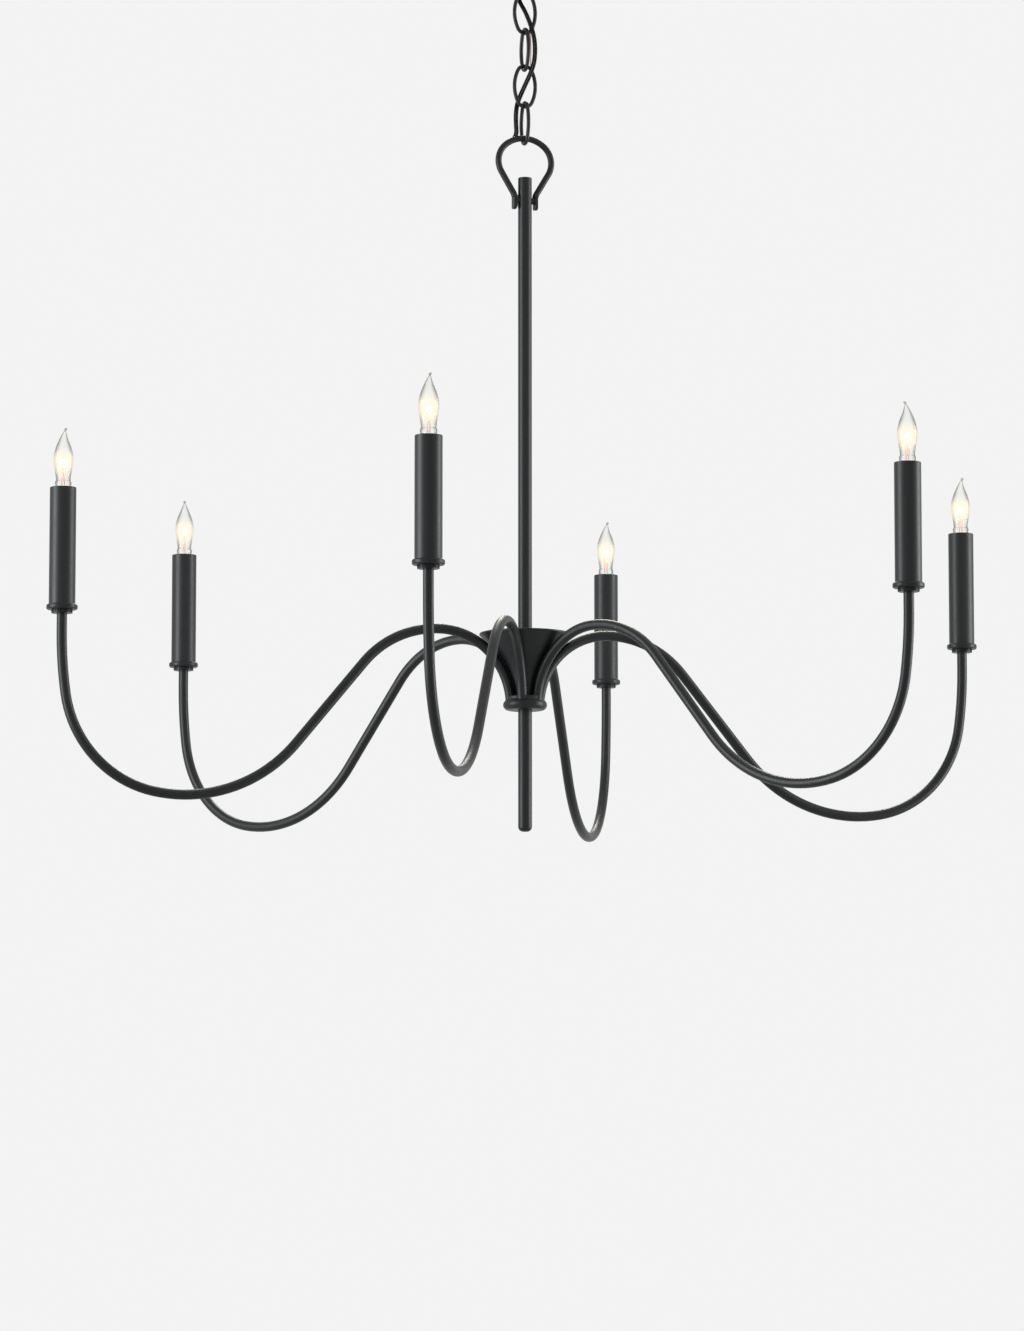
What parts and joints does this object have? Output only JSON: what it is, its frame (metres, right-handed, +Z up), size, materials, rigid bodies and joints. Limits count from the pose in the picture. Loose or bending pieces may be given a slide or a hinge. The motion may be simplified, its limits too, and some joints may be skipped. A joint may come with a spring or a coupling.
{
  "type": "chandelier",
  "caption": "Candle-style chandelier in matte black iron: swept tube arms from a trumpet hub on a long stem, hung by a bail and chain, with clear flame lamps on tall sleeves.",
  "frame": {"origin": "centre of the two box screws on the mounting bar's top face, at the ceiling", "axes": "+Z up along the stem into the ceiling, +X along the bail and one pair of arms, +Y to the back"},
  "size_m": [1.0836, 0.943, 1.002],
  "materials": {
    "black_iron": "matte black powder coat on steel, faint grain",
    "sleeve_black": "matte black painted tube",
    "zinc_steel": "zinc plated steel",
    "socket_plastic": "black moulded lamp holder",
    "bulb_glass": "clear blown glass",
    "lamp_base": "rolled brass screw shell",
    "filament_wire": "thin glowing filament on its wire support",
    "cord_cover": "black flat twin lead with a bare copper earth wire beside it"
  },
  "bodies": {
    "ceiling": {"mounting_bar": "zinc_steel", "canopy": "black_iron", "canopy_loop": "black_iron", "supply_cord_1": "cord_cover"},
    "link_1": {"chain_link_1": "black_iron", "supply_cord_2": "cord_cover"},
    "link_2": {"chain_link_2": "black_iron", "supply_cord_3": "cord_cover"},
    "link_3": {"chain_link_3": "black_iron", "supply_cord_4": "cord_cover"},
    "link_4": {"chain_link_4": "black_iron", "supply_cord_5": "cord_cover"},
    "bail": {"hanger_bail": "black_iron", "supply_cord_6": "cord_cover"},
    "fixture": {"stem": "black_iron", "bail_pin": "black_iron", "finial_rod": "black_iron", "hub_nipple": "zinc_steel", "hub_collar": "black_iron", "hub_cone": "black_iron", "hub_cover": "black_iron", "cup_nuts": "black_iron", "lamp_sockets": "socket_plastic", "internal_wiring": "cord_cover", "arm_1": "black_iron", "arm_2": "black_iron", "arm_3": "black_iron", "arm_4": "black_iron", "arm_5": "black_iron", "arm_6": "black_iron", "candle_cup_1": "black_iron", "candle_cup_2": "black_iron", "candle_cup_3": "black_iron", "candle_cup_4": "black_iron", "candle_cup_5": "black_iron", "candle_cup_6": "black_iron"},
    "sleeve_1": {"candle_sleeve_1": "sleeve_black"},
    "sleeve_2": {"candle_sleeve_2": "sleeve_black"},
    "sleeve_3": {"candle_sleeve_3": "sleeve_black"},
    "sleeve_4": {"candle_sleeve_4": "sleeve_black"},
    "sleeve_5": {"candle_sleeve_5": "sleeve_black"},
    "sleeve_6": {"candle_sleeve_6": "sleeve_black"},
    "bulb_1": {"bulb_glass_1": "bulb_glass", "bulb_base_1": "lamp_base", "filament_1": "filament_wire"},
    "bulb_2": {"bulb_glass_2": "bulb_glass", "bulb_base_2": "lamp_base", "filament_2": "filament_wire"},
    "bulb_3": {"bulb_glass_3": "bulb_glass", "bulb_base_3": "lamp_base", "filament_3": "filament_wire"},
    "bulb_4": {"bulb_glass_4": "bulb_glass", "bulb_base_4": "lamp_base", "filament_4": "filament_wire"},
    "bulb_5": {"bulb_glass_5": "bulb_glass", "bulb_base_5": "lamp_base", "filament_5": "filament_wire"},
    "bulb_6": {"bulb_glass_6": "bulb_glass", "bulb_base_6": "lamp_base", "filament_6": "filament_wire"}
  },
  "joints": [
    {"name": "loop_swing", "type": "hinge", "parent": "ceiling", "child": "link_1", "pos_m": [0, 0, -0.0654], "axis": [0, 1, 0], "range_deg": [-30, 30], "deforming": ["supply_cord_1"]},
    {"name": "link_1_swing", "type": "hinge", "parent": "link_1", "child": "link_2", "pos_m": [0, 0, -0.1069], "axis": [1, 0, 0], "range_deg": [-30, 30], "deforming": ["supply_cord_2"]},
    {"name": "link_2_swing", "type": "hinge", "parent": "link_2", "child": "link_3", "pos_m": [0, 0, -0.1488], "axis": [0, 1, 0], "range_deg": [-30, 30], "deforming": ["supply_cord_3"]},
    {"name": "link_3_swing", "type": "hinge", "parent": "link_3", "child": "link_4", "pos_m": [0, 0, -0.1907], "axis": [1, 0, 0], "range_deg": [-30, 30], "deforming": ["supply_cord_4"]},
    {"name": "link_4_swing", "type": "hinge", "parent": "link_4", "child": "bail", "pos_m": [0, 0, -0.2326], "axis": [0, 1, 0], "range_deg": [-30, 30], "deforming": ["supply_cord_5"]},
    {"name": "bail_pivot", "type": "hinge", "parent": "bail", "child": "fixture", "pos_m": [0, 0, -0.2975], "axis": [1, 0, 0], "range_deg": [-45, 45], "deforming": ["supply_cord_6"]},
    {"name": "sleeve_1_lift", "type": "slide", "parent": "fixture", "child": "sleeve_1", "axis": [0, 0, 1], "range_m": [0, 0.2]},
    {"name": "sleeve_2_lift", "type": "slide", "parent": "fixture", "child": "sleeve_2", "axis": [0, 0, 1], "range_m": [0, 0.2]},
    {"name": "sleeve_3_lift", "type": "slide", "parent": "fixture", "child": "sleeve_3", "axis": [0, 0, 1], "range_m": [0, 0.2]},
    {"name": "sleeve_4_lift", "type": "slide", "parent": "fixture", "child": "sleeve_4", "axis": [0, 0, 1], "range_m": [0, 0.2]},
    {"name": "sleeve_5_lift", "type": "slide", "parent": "fixture", "child": "sleeve_5", "axis": [0, 0, 1], "range_m": [0, 0.2]},
    {"name": "sleeve_6_lift", "type": "slide", "parent": "fixture", "child": "sleeve_6", "axis": [0, 0, 1], "range_m": [0, 0.2]},
    {"name": "bulb_1_lift", "type": "slide", "parent": "fixture", "child": "bulb_1", "axis": [0, 0, 1], "range_m": [0, 0.09]},
    {"name": "bulb_2_lift", "type": "slide", "parent": "fixture", "child": "bulb_2", "axis": [0, 0, 1], "range_m": [0, 0.09]},
    {"name": "bulb_3_lift", "type": "slide", "parent": "fixture", "child": "bulb_3", "axis": [0, 0, 1], "range_m": [0, 0.09]},
    {"name": "bulb_4_lift", "type": "slide", "parent": "fixture", "child": "bulb_4", "axis": [0, 0, 1], "range_m": [0, 0.09]},
    {"name": "bulb_5_lift", "type": "slide", "parent": "fixture", "child": "bulb_5", "axis": [0, 0, 1], "range_m": [0, 0.09]},
    {"name": "bulb_6_lift", "type": "slide", "parent": "fixture", "child": "bulb_6", "axis": [0, 0, 1], "range_m": [0, 0.09]}
  ]
}
